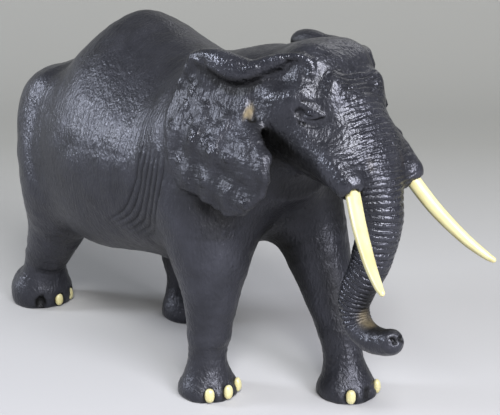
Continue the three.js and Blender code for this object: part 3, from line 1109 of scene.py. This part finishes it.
@dataclass
class Casting:
    """The hollow casting: body, legs, head, ears, trunk and tail in one skin."""

    torso: Torso = field(default_factory=Torso)
    legs: Legs = field(default_factory=Legs)
    trunk: Trunk = field(default_factory=Trunk)
    head: Head = field(default_factory=Head)
    ear: Ear = field(default_factory=Ear)
    folds: Folds = field(default_factory=Folds)
    seat: CoverSeat = field(default_factory=CoverSeat)
    slot: CoinSlot = field(default_factory=CoinSlot)
    nail: Toenail = field(default_factory=Toenail)
    tusk: Tusk = field(default_factory=Tusk)
    tail: tuple = (
        (-1, 0, 90, 3.6), (-6.5, 0, 82, 3.2), (-8.6, 0, 72, 2.7), (-7.6, 0, 62, 2.4), (-4.2, 0, 53, 2.5),
        (-1.6, 0, 45, 2.9), (-0.8, 0, 38, 1.5),
    )
    nostril: tuple = (181.4, 0.0, 36.4)
    nostril_side: float = 1.35
    nostril_size: tuple = (2.6, 0.8, 1.2)
    # Where brown residue shows: middle, half sizes, share, and the distances where it is full and gone.
    residues: tuple = (
        ((140.8, -22.8, 99.4), (1.0, 2.4, 3.2), 1.0, 0.2, 1.3),
        ((169.0, 0, 38.6), (1.0, 1.0, 1.0), 0.5, 1.5, 4.2),
        ((173.0, -5.6, 84.0), (1.6, 1.6, 4.5), 0.3, 0.4, 1.6),
    )
    # The groove before the hip: x and z of its middle, its bow, its depth and its half width.
    flank_groove: tuple = (24.0, 82.0, 0.012, 0.9, 5.5)
    # How far out the painted occlusion shade looks for parts closing in, in millimetres.
    occlusion_shade_reaches: tuple = (3.0, 8.0, 18.0)
    probe: float = 0.12
    cell: float = 1.5
    low: tuple = (-16.0, -46.0, -4.0)
    high: tuple = (200.0, 46.0, 126.0)

    def outside(self, p: Points) -> Distance:
        """The solid outside of the elephant.

        Args:
            p: the points.

        Returns:
            The distances.
        """
        d = self.torso.outside(p)
        d = blend_union(d, limb(p, self.head.neck), 8)
        d = blend_union(d, self.legs.outside(p), 9)
        near = p[:, 0] > 116
        if near.any():
            q = p[near]
            e = blend_union(d[near], self.head.outside(q), 3.5)
            d[near] = blend_union(e, self.trunk.place(q)[0], 4.0)
        d = blend_union(d, limb(p, self.tail), 3)
        d = self.ear.outside(d, p)
        return -blend_union(-d, p[:, 2], 1.2) if len(p) else d

    def solid(self, p: Points) -> Distance:
        """The whole casting, with its cavity, slot, seat, sockets and pockets.

        Args:
            p: the points.

        Returns:
            The distances.
        """
        d = self.outside(p)
        inner = (np.abs(p[:, 0] - 62) < 62) & (p[:, 2] > 28)
        if inner.any():
            q = p[inner]
            e = self.seat.add(d[inner], q, self.torso.hollow(q))
            d[inner] = np.maximum(e, -self.slot.distance(q))
        near = p[:, 2] < 8
        if near.any():
            q, e = p[near], d[near]
            for foot in FEET:
                for which in self.nail.places:
                    e = np.maximum(e, -self.nail.pocket(q, foot, which))
            d[near] = e
        for side in Side:
            d = np.maximum(d, -self.tusk.socket(p, side))
            at = (self.nostril[0] + 1.0, side.value * self.nostril_side, self.nostril[2])
            d = np.maximum(d, -ellipsoid(p, at, self.nostril_size))
        return d

    def sampled(self) -> tuple[Points, np.ndarray]:
        """Samples the field near its surface and turns it into quads.

        Returns:
            Vertices in walk millimetres and faces of four.
        """
        block = 8
        low = np.array(self.low)
        counts = np.ceil((np.array(self.high) - low) / self.cell / block).astype(int)
        centres = np.stack(np.meshgrid(*[np.arange(n) for n in counts], indexing="ij"), -1).reshape(-1, 3)
        d = self.solid(low + (centres + 0.5) * block * self.cell)
        values = np.repeat(np.repeat(np.repeat(d.reshape(counts), block, 0), block, 1), block, 2)
        live = centres[np.abs(d) < block * self.cell * 1.25]
        local = np.stack(np.meshgrid(*[np.arange(block)] * 3, indexing="ij"), -1).reshape(-1, 3)
        for part in np.array_split(live, max(1, len(live) // 400)):
            index = (part[:, None] * block + local[None]).reshape(-1, 3)
            values[tuple(index.T)] = self.solid(low + index * self.cell)
        grid = openvdb.FloatGrid(10.0)
        grid.copyFromArray(np.ascontiguousarray(np.clip(values, -9, 9), dtype=np.float32))
        points, quads = grid.convertToQuads(isovalue=0.0)
        return low + points.astype(float) * self.cell, quads

    def slope(self, p: Points) -> tuple[Distance, Points]:
        """The field and its unit gradient, by four nearby samples.

        Args:
            p: the points.

        Returns:
            The distances and the unit gradients.
        """
        h = self.probe
        ways = np.array([[1, -1, -1], [-1, -1, 1], [-1, 1, -1], [1, 1, 1]], float)
        samples = [self.solid(p + way * h) for way in ways]
        g = sum(way * s[:, None] for way, s in zip(ways, samples)) / (4 * h)
        length = np.linalg.norm(g, axis=-1, keepdims=True)
        return sum(samples) / 4 / np.maximum(length[:, 0], 0.25), g / np.maximum(length, 1e-6)

    def settled(self, p: Points, rounds: int) -> tuple[Points, Points]:
        """Moves points onto the surface, and returns them with their normals.

        Args:
            p: the points.
            rounds: how many times to move them.

        Returns:
            The moved points and their normals.
        """
        for _ in range(rounds):
            d, n = self.slope(p)
            p = p - n * np.clip(d, -0.6, 0.6)[:, None]
        return p, n

    def fineness(self, p: Points) -> np.ndarray:
        """How many times the mesh is halved at each point: 0, 1 or 2.

        Args:
            p: the points.

        Returns:
            The level of each point.
        """
        out = -np.abs(p[:, 1])
        ears = (p[:, 0] > 104) & (p[:, 0] < 158) & (p[:, 2] > 66) & (out < -17)
        elbow = (p[:, 0] > 74) & (p[:, 0] < 116) & (p[:, 2] > 44) & (p[:, 2] < 84) & (out < -22)
        skull = (p[:, 0] > 140) & (p[:, 2] > 76)
        trunk = (p[:, 0] > 156) & (p[:, 2] <= 90)
        ankle = np.abs(p[:, 2] - 14) < 6.5
        level = (ears | elbow | skull | trunk | ankle).astype(int)
        rings = (p[:, 0] > 152.5 + 0.75 * (109 - p[:, 2])) & (out > -10) & (p[:, 2] > 86) & (p[:, 2] < 112)
        rings |= (p[:, 0] > 158) & (p[:, 2] <= 86) & (p[:, 2] > 33) & (out > -9)
        eyes = (np.abs(p[:, 0] - 158) < 6.5) & (np.abs(p[:, 2] - 100.6) < 4.5) & (out < -10)
        level[rings | eyes | elbow] = 2
        return level

    def relief(self, p: Points) -> Distance:
        """How far the fine relief lifts (or sinks) each point.

        Args:
            p: the points.

        Returns:
            The lifts in millimetres.
        """
        skin = 0.22 * lumps(p, 5.5, 1) + 0.12 * lumps(p, 2.6, 2)
        at_x, at_z, bow, deep, wide = self.flank_groove
        line = np.abs(p[:, 0] - (at_x + bow * (p[:, 2] - at_z) ** 2))
        groove = deep * fade(line, 0.0, wide) * fade(p[:, 2], 62, 50)
        return skin - groove - self.trunk.rings(p)[0] - self.folds.depth(p) - self.legs.wrinkles(p)

    def painted_occlusion_shade(self, p: Points, normals: Points) -> Distance:
        """How far other parts of the casting close in over each point, from 0 to 1; the finish darkens these
        places as painted shade.

        Args:
            p: the points.
            normals: their normals.

        Returns:
            The shares, from 0 to 1.
        """
        shut = np.zeros(len(p))
        for reach in self.occlusion_shade_reaches:
            shut = np.maximum(shut, np.clip(1 - self.outside(p + normals * reach) / reach, 0, 1))
        return shut

    def zones(self, p: Points) -> dict[str, np.ndarray]:
        """Weights from 0 to 1 of the surface zones that the finish tells apart.

        Args:
            p: the points.

        Returns:
            Each zone's weights under its name.
        """
        outline = smooth_path(self.ear.outline, 4, closed=True)
        out = -np.abs(p[:, 1])
        edge = outline_distance(p[:, 0], p[:, 2], outline)
        q = np.stack([p[:, 0], out, p[:, 2]], -1)
        leaf = fade(edge, -0.6, 0.6) * fade(np.abs(out + self.ear.middle(p[:, 0], p[:, 2])), 2.4, 4.5)
        upper = leaf * fade(p[:, 2], 92, 88)
        gloss = np.zeros(len(p))
        for path, wide in ((self.ear.flap, 2.6), (self.ear.flap_drape, 2.0), (self.head.temple_rim, 1.4)):
            gloss = np.maximum(gloss, fade(limb(q, path), 0.2, wide))
        gloss = np.maximum(gloss, self.ear.chipped(q) * leaf)
        tan = np.zeros(len(p))
        for at, size, share, full, none in self.residues:
            tan = np.maximum(tan, share * fade(np.linalg.norm((q - at) / size, axis=-1), full, none))
        # Painted shade: darkening laid into the ear crease, along the upper lid, in the skin folds, round the
        # tusk sockets and in the empty nail pockets.
        shaded_creases = [
            fade(limb(q, self.ear.crease), 0.4, 1.8),
            fade(limb(q, self.head.upper_lid, 5), 0.1, 0.9) * 0.25,
            np.clip(self.folds.depth(p) / self.folds.elbow_depth, 0, 1) * 0.8,
        ]
        shaded_creases += [fade(self.tusk.socket(p, side), 0.0, 0.8) * 0.5 for side in Side]
        for foot in FEET:
            empty = [which for which in self.nail.places if which not in foot.nails]
            shaded_creases += [fade(self.nail.pocket(p, foot, which), 0.1, 0.6) for which in empty]
        crease_shade = np.maximum.reduce(shaded_creases)
        _, ring, turns = self.trunk.rings(p)
        barrel = fade(p[:, 0], 100, 112) * fade(p[:, 2], 52, 44) * (1 - leaf)
        skull = fade(p[:, 0], 140, 134) * fade(p[:, 2], 80, 72) * (1 - leaf) * (1 - ring)
        eye = fade(ellipsoid(q, self.head.eye_at, self.head.eye_size), 0.05, 0.4)
        return {
            "ear_upper": upper, "ear_lower": leaf - upper, "gloss": gloss, "crease_shade": crease_shade,
            "ring": ring, "barrel": barrel, "eye": eye, "turns": turns, "tan": tan, "skull": skull,
        }

    def build(self, finish: "Finish") -> bpy.types.Object:
        """Builds the skin, with its relief and its zone weights, in place of the plain node.

        Args:
            finish: the piece's finish.

        Returns:
            The skin.
        """
        points, quads = self.sampled()
        points = self.settled(points, 1)[0]
        mesh = bmesh.new()
        corners = [mesh.verts.new(v) for v in points]
        for quad in quads:
            mesh.faces.new([corners[i] for i in quad])
        for level in (1, 2):
            where = np.array([v.co[:] for v in mesh.verts])
            fine = self.fineness(where) >= level
            mesh.verts.index_update()
            edges = [e for e in mesh.edges if fine[e.verts[0].index] and fine[e.verts[1].index]]
            bmesh.ops.subdivide_edges(mesh, edges=edges, cuts=1, use_grid_fill=True)
            mesh.verts.ensure_lookup_table()
        where = np.array([v.co[:] for v in mesh.verts])
        settled, normals = self.settled(where, 2)
        # The hollow weight is painted shade: the more closed in a point is, the darker its colour.
        hollow = self.painted_occlusion_shade(settled, normals)
        settled = settled + normals * self.relief(settled)[:, None]
        settled[:, 2] = np.maximum(settled[:, 2], 0.0)
        for v, at in zip(mesh.verts, to_frame(settled)):
            v.co = at
        bmesh.ops.recalc_face_normals(mesh, faces=mesh.faces)
        data = bpy.data.meshes.new("elephant_skin")
        mesh.to_mesh(data)
        mesh.free()
        made = bpy.data.objects.new("elephant_skin", data)
        bpy.context.scene.collection.objects.link(made)
        data.shade_smooth()
        for name, weights in {**self.zones(settled), "hollow": hollow}.items():
            layer = data.attributes.new(name, "FLOAT", "POINT")
            layer.data.foreach_set("value", weights.astype(np.float32))
        log.info("skin: %d vertices, %d faces", len(data.vertices), len(data.polygons))
        dress(made, "casting", finish, "body_casting")
        return made


@dataclass
class BellyCover:
    """The cast cover plate under the belly, with its edges broken."""

    bevel: float = 0.35

    def build(self, finish: "Finish") -> bpy.types.Object:
        """Builds the cover from its node's outline, with rounded edges.

        Args:
            finish: the piece's finish.

        Returns:
            The cover.
        """
        made = copied("belly_cover", "cover_plate")
        bevelled(made, self.bevel)
        dress(made, "cover", finish, "belly_cover")
        return made


@dataclass
class CoverScrew:
    """A round-headed slotted machine screw with a cut thread, head down."""

    head_radius: float = 3.7
    head_height: float = 2.1
    shank: float = 2.05
    pitch: float = 0.794
    thread_depth: float = 0.42
    under: float = 39.35
    tip: float = 52.0
    slot_width: float = 1.1
    slot_depth: float = 1.1
    point: float = 0.6
    point_length: float = 0.8
    run_out: float = 1.2

    def radius(self, z: float, angle: float) -> float:
        """Radius of the screw at a height and an angle.

        Args:
            z: the height.
            angle: the angle round the axis.

        Returns:
            The radius.
        """
        if z < self.under:
            t = min(max((self.under - z) / self.head_height, 0.0), 1.0)
            return self.head_radius * math.sqrt(max(0.0, 1 - t**2.2))
        turn = (z / self.pitch - angle / (2 * math.pi)) % 1.0
        thread = self.thread_depth * abs(2 * turn - 1)
        run = min(1.0, max(0.0, (z - self.under) / self.run_out))
        point = self.point * max(0.0, (z - self.tip + self.point_length) / self.point_length)
        return self.shank - thread * run - point

    def build(self, x: float, body: str, node: str, finish: "Finish") -> bpy.types.Object:
        """Builds one screw in place of its plain node.

        Args:
            x: where it stands.
            body: the body it turns with.
            node: its node.
            finish: the screw's finish.

        Returns:
            The screw.
        """
        around = 40
        low = self.under - self.head_height
        heights = list(np.linspace(low, self.under, 9)) + [self.under + 0.001]
        heights += list(np.arange(self.under + 0.13, self.tip, 0.13)) + [self.tip]
        points = []
        for z in heights:
            for j in range(around):
                a = 2 * math.pi * j / around
                r = max(self.radius(z, a), 0.05)
                points.append((x + r * math.cos(a), r * math.sin(a), z))
        faces = ring_faces(len(heights), around)
        faces += [tuple(range(around))[::-1], tuple((len(heights) - 1) * around + j for j in range(around))]
        made = new_object(f"{body}_round_head", points, faces)
        half = (3 * self.head_radius, self.slot_width / 2, self.slot_depth)
        signs = [(a, b, c) for a in (-1, 1) for b in (-1, 1) for c in (-1, 1)]
        box = [(x + a * half[0], b * half[1], low + c * half[2]) for a, b, c in signs]
        sides = [(0, 1, 3, 2), (4, 6, 7, 5), (0, 4, 5, 1), (2, 3, 7, 6), (0, 2, 6, 4), (1, 5, 7, 3)]
        cut(made, new_object("slot_cutter", box, sides))
        dress(made, body, finish, node)
        return made


# ---- mesh helpers ----


def weld(made: bpy.types.Object) -> None:
    """Merges doubled vertices at the poles and points every face outwards.

    Args:
        made: the object.
    """
    mesh = bmesh.new()
    mesh.from_mesh(made.data)
    bmesh.ops.remove_doubles(mesh, verts=mesh.verts, dist=1e-6)
    bmesh.ops.recalc_face_normals(mesh, faces=mesh.faces)
    mesh.to_mesh(made.data)
    mesh.free()
    made.data.shade_smooth()


def baked(made: bpy.types.Object) -> None:
    """Turns an object's modifiers into its mesh.

    Args:
        made: the object.
    """
    depsgraph = bpy.context.evaluated_depsgraph_get()
    data = bpy.data.meshes.new_from_object(made.evaluated_get(depsgraph))
    made.modifiers.clear()
    made.data = data


def cut(made: bpy.types.Object, tool: bpy.types.Object) -> None:
    """Takes the tool out of a mesh and removes the tool.

    Args:
        made: the object.
        tool: the object to take out.
    """
    modifier = made.modifiers.new("slot", "BOOLEAN")
    modifier.operation = "DIFFERENCE"
    modifier.solver = "EXACT"
    modifier.object = tool
    baked(made)
    bpy.data.objects.remove(tool)
    made.data.shade_smooth()
    made.data.set_sharp_from_angle(angle=math.radians(35))


def copied(node: str, name: str) -> bpy.types.Object:
    """Makes a new object with a copy of a node's mesh.

    Args:
        node: the node to copy.
        name: the copy's name.

    Returns:
        The copy.
    """
    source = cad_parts[node]
    made = bpy.data.objects.new(name, source.data.copy())
    bpy.context.scene.collection.objects.link(made)
    made.data.materials.clear()
    return made


def bevelled(made: bpy.types.Object, width: float) -> None:
    """Rounds every sharp edge of a mesh.

    Args:
        made: the object.
        width: the bevel's width in millimetres.
    """
    mesh = bmesh.new()
    mesh.from_mesh(made.data)
    bmesh.ops.remove_doubles(mesh, verts=mesh.verts, dist=1e-6)
    bmesh.ops.dissolve_limit(mesh, angle_limit=math.radians(2), verts=mesh.verts, edges=mesh.edges)
    mesh.to_mesh(made.data)
    mesh.free()
    modifier = made.modifiers.new("edge", "BEVEL")
    modifier.width = width * MM
    modifier.segments = 3
    modifier.limit_method = "ANGLE"
    modifier.angle_limit = math.radians(35)
    baked(made)
    made.data.shade_smooth()
    made.data.set_sharp_from_angle(angle=math.radians(40))


def dress(made: bpy.types.Object, body: str, finish: "Finish", node: str) -> None:
    """Gives a piece its finish and its body, and hides the node it stands for.

    Args:
        made: the object.
        body: the body it rides on.
        finish: its finish.
        node: the node it stands for.
    """
    made.data.materials.clear()
    made.data.materials.append(finish.material())
    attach(made, body)
    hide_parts(node)
    log.info("%s rides on %s for %s", made.name, body, node)


# ---- finishes ----


@dataclass(frozen=True)
class Pattern:
    """A noise: the size of its cells in millimetres along x, y and z, its detail and that detail's share."""

    name: str
    cell: tuple[float, float, float]
    detail: float = 2.0
    share: float = 0.5


@dataclass(frozen=True)
class Finish:
    """A finish, as the tables that its material is made from.

    Zones are weights stored on the mesh. Steps are sums of named values, done in order. Tints are
    laid over the colour, each where its value is high. Layers raise the bump: a pattern, the zone it
    lies in (or none) and its depth. Shine adds a share of each value to the roughness, counted from
    its middle.
    """

    name: str = "plain"
    colour: str = "808080"
    roughness: float = 0.5
    metallic: float = 0.0
    bump: float = 0.1
    strength: float = 1.0
    zones: tuple[str, ...] = ()
    patterns: tuple[Pattern, ...] = ()
    steps: tuple[tuple, ...] = ()
    tints: tuple[tuple[str, str], ...] = ()
    layers: tuple[tuple[str, str, float], ...] = ()
    shine: tuple[tuple[str, float, float], ...] = ()
    sockets: tuple[tuple[str, object], ...] = ()

    def material(self) -> bpy.types.Material:
        """The finish's material, made the first time it is asked for."""
        return bpy.data.materials.get(self.name) or self.made()

    def made(self) -> bpy.types.Material:
        """Builds the material from the tables.

        Returns:
            The material.
        """
        material = bpy.data.materials.new(self.name)
        material.use_nodes = True
        tree = material.node_tree
        values: dict[object, bpy.types.NodeSocket] = {}
        for zone in self.zones:
            values[zone] = add_node(tree, "ShaderNodeAttribute", attribute_name=zone).outputs["Fac"]
        place = add_node(tree, "ShaderNodeTexCoord").outputs["Object"]
        for pattern in self.patterns:
            cells = [1 / (size * MM) for size in pattern.cell]
            scaled = add_node(tree, "ShaderNodeVectorMath", {0: place, 1: cells}, operation="MULTIPLY")
            links = {"Vector": scaled.outputs[0], "Scale": 1.0}
            links |= {"Detail": pattern.detail, "Roughness": pattern.share}
            values[pattern.name] = add_node(tree, "ShaderNodeTexNoise", links).outputs["Fac"]
        for result, how, *terms in self.steps:
            links = {i: values.get(term, term) for i, term in enumerate(terms)}
            values[result] = add_node(tree, "ShaderNodeMath", links, operation=how).outputs[0]
        height, rough, colour = 0.0, self.roughness, linear(self.colour)
        for pattern, zone, deep in self.layers:
            if zone:
                links = {0: values[zone], 1: deep}
                deep = add_node(tree, "ShaderNodeMath", links, operation="MULTIPLY").outputs[0]
            links = {0: values[pattern], 1: deep, 2: height}
            height = add_node(tree, "ShaderNodeMath", links, operation="MULTIPLY_ADD").outputs[0]
        rough -= sum(share * middle for _, share, middle in self.shine)
        for value, share, _ in self.shine:
            links = {0: values[value], 1: share, 2: rough}
            rough = add_node(tree, "ShaderNodeMath", links, operation="MULTIPLY_ADD").outputs[0]
        for value, tint in self.tints:
            links = {0: values[value], 6: colour, 7: linear(tint)}
            colour = add_node(tree, "ShaderNodeMix", links, data_type="RGBA").outputs[2]
        links = {"Height": height, "Strength": self.strength, "Distance": self.bump * MM}
        normal = add_node(tree, "ShaderNodeBump", links).outputs[0]
        ends = {"Base Color": colour, "Roughness": rough, "Metallic": self.metallic, "Normal": normal}
        connect(tree, tree.nodes["Principled BSDF"], {**ends, **dict(self.sockets)})
        return material


@dataclass(frozen=True)
class ChasedIron(Finish):
    """Cast iron, chased all over with fine tool strokes, blackened and waxed.

    The strokes break the highlights into silky streaks, the wax keeps them soft, and the high
    rolls of the ears and temples are rubbed to a chipped gloss.
    """

    name: str = "chased_blackened_iron"
    colour: str = "212226"
    roughness: float = 0.37
    # Blackening leaves less bare metal on top than a machined face shows.
    metallic: float = 0.6
    bump: float = 0.32
    zones: tuple = (
        "barrel", "gloss", "crease_shade", "ear_upper", "ear_lower", "ring", "skull", "tan", "eye", "turns", "hollow",
    )
    # The strokes are about 0.5 mm wide; they are drawn 1.0 to 1.8 mm wide, so that they show.
    # The cracks and chips of the worn skin are about 1 mm; they are drawn 2.2 mm wide.
    patterns: tuple = (
        Pattern("hoops", (1.1, 12.0, 8.0), 2.0, 0.55),
        Pattern("upright", (1.3, 30.0, 8.0), 2.0, 0.55),
        Pattern("level", (8.0, 30.0, 1.3), 2.0, 0.55),
        Pattern("grain", (1.0, 1.0, 1.8), 2.0, 0.55),
        Pattern("crackle", (2.2, 2.2, 1.8), 3.0, 0.55),
        Pattern("chips", (2.2, 3.0, 1.7), 3.0, 0.55),
        Pattern("clouds", (9.0, 9.0, 9.0), 4.0, 0.55),
    )
    steps: tuple = (
        ("fold", "MULTIPLY", "turns", math.pi),
        ("fold", "SINE", "fold"),
        ("fold", "ABSOLUTE", "fold"),
        ("fold", "POWER", "fold", 0.5),
        # Painted shade: the creases and the closed-in hollows are darkened towards black.
        ("crease_darkening", "MULTIPLY", "crease_shade", 0.8),
        ("painted_shade", "MULTIPLY", "hollow", 1.1),
        ("painted_shade", "MAXIMUM", "painted_shade", "crease_darkening"),
        ("stain", "MULTIPLY", "crackle", 1.3),
        ("stain", "MULTIPLY", "stain", "tan"),
    )
    # Wax lies grey on the skin, painted shade lies black in the creases and hollows, and old residue at the
    # ear root and trunk tip.
    tints: tuple = (("clouds", "404149"), ("painted_shade", "0c0c0c"), ("stain", "85785c"))
    layers: tuple = (
        ("grain", "", 1.15),
        ("fold", "ring", 0.7),
        ("hoops", "barrel", 1.0),
        ("upright", "ear_upper", 0.9),
        ("level", "ear_lower", 1.0),
        ("chips", "gloss", 1.6),
        ("crackle", "skull", 0.8),
        ("crackle", "ear_upper", 0.55),
        ("crackle", "ear_lower", 0.55),
    )
    # Rubbed rolls, rings, brow and eyes are glossier; residue and hollows are dull.
    shine: tuple = (
        ("clouds", 0.2, 0.5), ("crackle", 0.25, 0.5), ("gloss", -0.13, 0.0), ("eye", -0.16, 0.0),
        ("ring", -0.1, 0.0), ("skull", -0.06, 0.0), ("tan", 0.35, 0.0), ("hollow", 0.25, 0.0),
    )


@dataclass(frozen=True)
class CreamBone(Finish):
    """Bone-coloured insets, sawn, filed and polished by hand: warm, slightly translucent, faint grain."""

    name: str = "polished_bone"
    colour: str = "b0aa80"
    roughness: float = 0.36
    bump: float = 0.05
    strength: float = 0.5
    # Bone's grain runs in lines about 0.4 mm apart; it is drawn at 0.8 mm.
    patterns: tuple = (Pattern("grain", (0.8, 0.8, 3.5), 3.0), Pattern("cloud", (5.0, 5.0, 5.0)))
    # The warm patches show where the cloud is between 0.42 and 0.75, and at most 0.55 of the way.
    steps: tuple = (
        ("warmth", "MULTIPLY_ADD", "cloud", 0.55 / 0.33, -0.42 * 0.55 / 0.33),
        ("warmth", "MAXIMUM", "warmth", 0.0),
        ("warmth", "MINIMUM", "warmth", 0.55),
    )
    tints: tuple = (("warmth", "a3955f"),)
    layers: tuple = (("grain", "", 1.0),)
    sockets: tuple = (("Subsurface Weight", 0.15), ("Subsurface Radius", (0.003, 0.002, 0.001)))


@dataclass(frozen=True)
class TurnedSteel(Finish):
    """Steel screws, turned and left oiled: fine rings round the head and a dull grey gleam."""

    name: str = "turned_screw_steel"
    colour: str = "8b8c8f"
    roughness: float = 0.34
    metallic: float = 1.0
    bump: float = 0.03
    strength: float = 0.6
    # The turning marks are about 0.1 mm apart; they are drawn at 0.25 mm.
    patterns: tuple = (Pattern("turned", (0.6, 0.6, 0.25)),)
    tints: tuple = (("turned", "55504a"),)
    layers: tuple = (("turned", "", 1.0),)


@dataclass(frozen=True)
class PaleCloth(Finish):
    """A pale matt sweep, whitest in front and darkened towards the wall behind by painted shade, the falling
    off of light away from the lamps.
    """

    name: str = "pale_sweep"
    colour: str = "a6a6a9"
    roughness: float = 0.9
    strength: float = 0.25
    zones: tuple = ("depth",)
    # The weave is about 0.6 mm; it is drawn at 1.2 mm.
    patterns: tuple = (Pattern("weave", (1.2, 1.2, 1.2)),)
    # Painted shade: the depth weight darkens the sweep the further back it lies.
    tints: tuple = (("depth", "878783"),)
    layers: tuple = (("weave", "", 1.0),)


# ---- studio ----


@dataclass
class Studio:
    """Camera, lights and the sweep the bank stands on. Sizes in metres and degrees."""

    camera_at: tuple = (0.29311, -0.21439, 0.1594)
    azimuth: float = 51.84
    pitch: float = 15.91
    lens: float = 79.2
    sweep_half: float = 1.6
    sweep_bend: float = 0.35
    lights: tuple = (
        ("key", (0.75, -0.50, 0.85), 0.34, 20.0, "ffffff"),
        ("window", (-0.75, -0.80, 0.45), 0.28, 11.5, "f0f5ff"),
        ("front", (0.95, -0.08, 0.50), 0.50, 19.0, "f8f8ff"),
        ("back", (-0.3, 0.8, 0.8), 0.5, 3.0, "ffffff"),
    )
    room_colour: str = "e8ecf2"
    room_strength: float = 0.13

    def place_camera(self) -> None:
        """Puts the camera where the bank is seen from the right front."""
        data = bpy.data.cameras.new("camera")
        data.lens = self.lens
        data.sensor_width = 36.0
        data.clip_start = 0.01
        made = bpy.data.objects.new("camera", data)
        made.location = self.camera_at
        made.rotation_euler = (math.radians(90 - self.pitch), 0, math.radians(self.azimuth))
        bpy.context.scene.collection.objects.link(made)
        bpy.context.scene.camera = made

    def add_light(self, name: str, at: Sequence[float], size: float, power: float, colour: str) -> None:
        """Adds a square soft light that looks at the bank.

        Args:
            name: its name.
            at: where it hangs.
            size: the side of its square.
            power: its power in watts.
            colour: its sRGB hex colour.
        """
        data = bpy.data.lights.new(name, "AREA")
        data.shape = "SQUARE"
        data.size = size
        data.energy = power
        data.color = linear(colour)[:3]
        made = bpy.data.objects.new(name, data)
        made.location = at
        aim = Vector((0.0, 0.0, 0.06)) - Vector(at)
        made.rotation_euler = aim.to_track_quat("-Z", "Y").to_euler()
        bpy.context.scene.collection.objects.link(made)

    def build_sweep(self) -> None:
        """Builds the floor, curved up far behind the bank into a backdrop."""
        turn = Matrix.Rotation(math.radians(self.azimuth), 3, "Z")
        rows = []
        profile = [(-self.sweep_half, 0.0), (-0.25, 0.0)] + [(-0.2 + 0.05 * k, 0.0) for k in range(14)]
        for k in range(1, 13):
            a = k / 12 * math.pi / 2
            profile.append((0.45 + self.sweep_bend * math.sin(a), self.sweep_bend * (1 - math.cos(a))))
        profile.append((0.45 + self.sweep_bend, self.sweep_half))
        for y, z in profile:
            for x in (-self.sweep_half, self.sweep_half):
                rows.append(turn @ Vector((x, y, z)))
        points = [(v.x / MM + MIDDLE_X, v.y / MM, v.z / MM - 0.05) for v in rows]
        faces = [(2 * i, 2 * i + 1, 2 * i + 3, 2 * i + 2) for i in range(len(profile) - 1)]
        sweep = new_object("sweep", points, faces)
        # The depth weight carries painted shade: the sweep darkens from the front to the backdrop.
        depth = np.repeat([min(max((y + 0.15) / 0.5, 0.0), 1.0) for y, z in profile], 2).astype(np.float32)
        sweep.data.attributes.new("depth", "FLOAT", "POINT").data.foreach_set("value", depth)
        sweep.data.materials.append(PaleCloth().material())

    def build(self) -> None:
        """Builds the camera, the sweep, the lights and the room's soft light."""
        self.place_camera()
        self.build_sweep()
        for light in self.lights:
            self.add_light(*light)
        bpy.context.scene.view_settings.view_transform = "Standard"
        world = bpy.data.worlds.new("room")
        world.use_nodes = True
        bpy.context.scene.world = world
        backdrop = world.node_tree.nodes["Background"]
        backdrop.inputs["Color"].default_value = linear(self.room_colour)
        backdrop.inputs["Strength"].default_value = self.room_strength


def main() -> None:
    """Builds every piece in order."""
    logging.basicConfig(level=logging.INFO)
    Studio().build()
    iron, bone, steel = ChasedIron(), CreamBone(), TurnedSteel()
    Casting().build(iron)
    for side in Side:
        Tusk().build(side, bone)
    for foot in FEET:
        for which in foot.nails:
            Toenail().build(foot, which, bone)
    BellyCover().build(iron)
    rear, front = CoverSeat().screw_places()
    CoverScrew().build(rear, "rear_screw", "cover_screw_rear", steel)
    CoverScrew().build(front, "front_screw", "cover_screw_front", steel)


if __name__ == "__main__":
    main()
